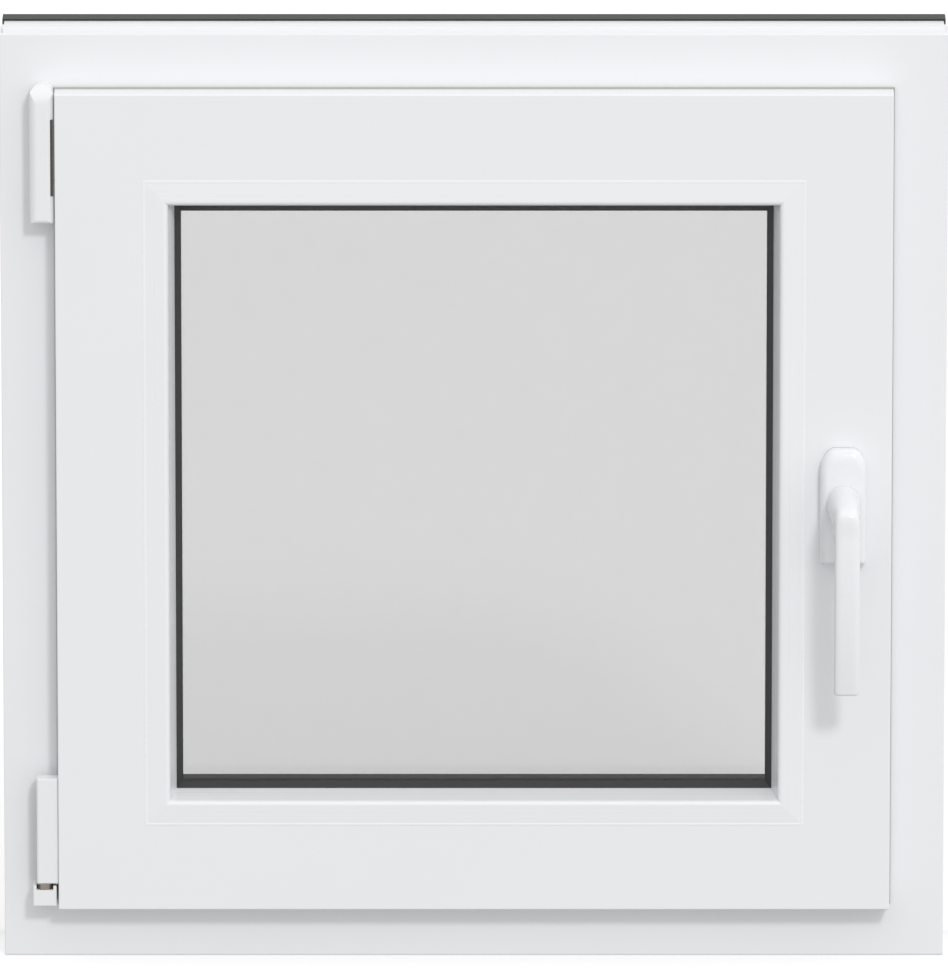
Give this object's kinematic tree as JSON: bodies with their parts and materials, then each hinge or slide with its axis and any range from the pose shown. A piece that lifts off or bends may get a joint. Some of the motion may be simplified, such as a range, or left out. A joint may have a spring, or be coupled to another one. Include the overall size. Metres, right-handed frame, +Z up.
{
  "type": "tilt and turn window",
  "caption": "Square white tilt and turn window with mitred hollow profiles, sealed glass unit, hinge covers, dark weather covers and a turning lever handle.",
  "frame": {"origin": "on the frame's lower outer edge, at the middle of its width, on the middle rib 28.5 mm behind the frame's room face", "axes": "+X to the right seen from the room, +Y out to the weather side, +Z up"},
  "size_m": [0.6, 0.149, 0.6],
  "materials": {
    "upvc_profile": "smooth white extruded uPVC, satin gloss",
    "upvc_bead": "smooth white extruded uPVC, satin gloss",
    "weather_cover": "dark grey powder-coated aluminium, fine matt",
    "glass": "clear float glass",
    "edge_spacer": "black warm-edge spacer",
    "packer": "black moulded setting block",
    "black_gasket": "black EPDM, matt",
    "grey_seal": "light grey co-extruded seal",
    "moulded_cover": "white moulded ABS, satin gloss",
    "hinge_steel": "dark zinc-plated steel",
    "bright_steel": "bright plated steel",
    "coated_handle": "white powder-coated die-cast aluminium, glossy"
  },
  "bodies": {
    "window": {"frame_head": "upvc_profile", "frame_sill": "upvc_profile", "frame_hinge_jamb": "upvc_profile", "frame_lock_jamb": "upvc_profile", "sash_top_rail": "upvc_profile", "sash_bottom_rail": "upvc_profile", "sash_hinge_stile": "upvc_profile", "sash_lock_stile": "upvc_profile", "bead_top": "upvc_bead", "bead_bottom": "upvc_bead", "bead_hinge_side": "upvc_bead", "bead_lock_side": "upvc_bead", "frame_cover_head": "weather_cover", "frame_cover_sill": "weather_cover", "frame_cover_hinge_jamb": "weather_cover", "frame_cover_lock_jamb": "weather_cover", "sash_cover_top_rail": "weather_cover", "sash_cover_bottom_rail": "weather_cover", "sash_cover_hinge_stile": "weather_cover", "sash_cover_lock_stile": "weather_cover", "glass_room_pane": "glass", "glass_weather_pane": "glass", "glass_spacer": "edge_spacer", "glazing_packers": "packer", "glazing_gasket_room": "black_gasket", "glazing_gasket_weather": "black_gasket", "sash_lip_seal": "grey_seal", "frame_stop_seal": "black_gasket", "top_hinge_cover": "moulded_cover", "top_hinge_arm": "hinge_steel", "low_hinge_cover": "moulded_cover", "low_hinge_pin": "bright_steel", "low_hinge_pivot": "moulded_cover", "handle_rosette": "coated_handle"},
    "handle": {"handle_lever": "coated_handle", "handle_spindle": "bright_steel"}
  },
  "joints": [
    {"name": "handle_turn", "type": "hinge", "parent": "window", "child": "handle", "pos_m": [0.2342, -0.0605, 0.3], "axis": [0, 1, 0], "range_deg": [0, 180]}
  ]
}
